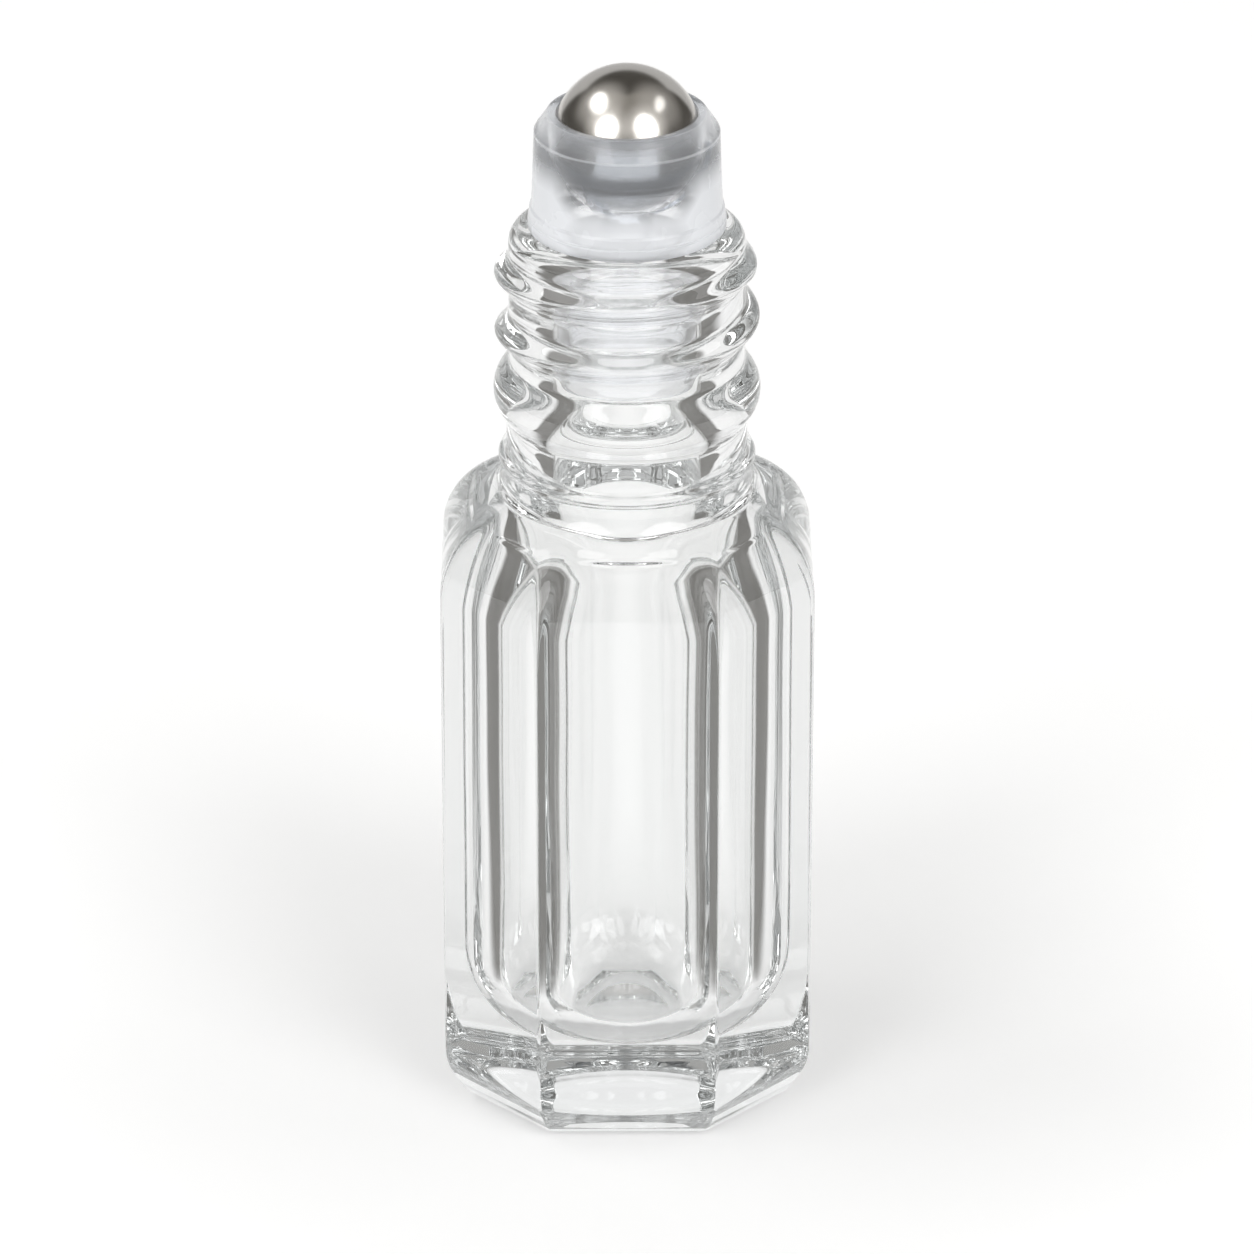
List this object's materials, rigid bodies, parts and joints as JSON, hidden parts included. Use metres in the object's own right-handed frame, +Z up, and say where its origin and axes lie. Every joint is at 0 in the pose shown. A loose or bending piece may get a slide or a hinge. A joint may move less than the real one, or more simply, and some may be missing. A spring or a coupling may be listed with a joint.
{
  "type": "roll on bottle",
  "caption": "Eight-sided glass roll-on bottle with a threaded neck, a translucent plug-in roller housing and a polished steel ball.",
  "frame": {"origin": "centre of the base, on the surface that the bottle stands on", "axes": "+Z up along the bottle's axis, the front facet faces -Y"},
  "size_m": [0.0202, 0.0202, 0.0598],
  "materials": {
    "clear_glass": "clear, fire polished",
    "milky_plastic": "translucent, satin",
    "polished_steel": "mirror polished"
  },
  "bodies": {
    "bottle": {"glass_bottle": "clear_glass"},
    "fitment": {"roller_housing": "milky_plastic"},
    "ball": {"roller_ball": "polished_steel"}
  },
  "joints": [
    {"name": "fitment_pull", "type": "slide", "parent": "bottle", "child": "fitment", "axis": [0, 0, 1], "range_m": [0, 0.01]},
    {"name": "ball_roll", "type": "hinge", "parent": "fitment", "child": "ball", "pos_m": [0, 0, 0.05585], "axis": [1, 0, 0], "continuous": true}
  ]
}
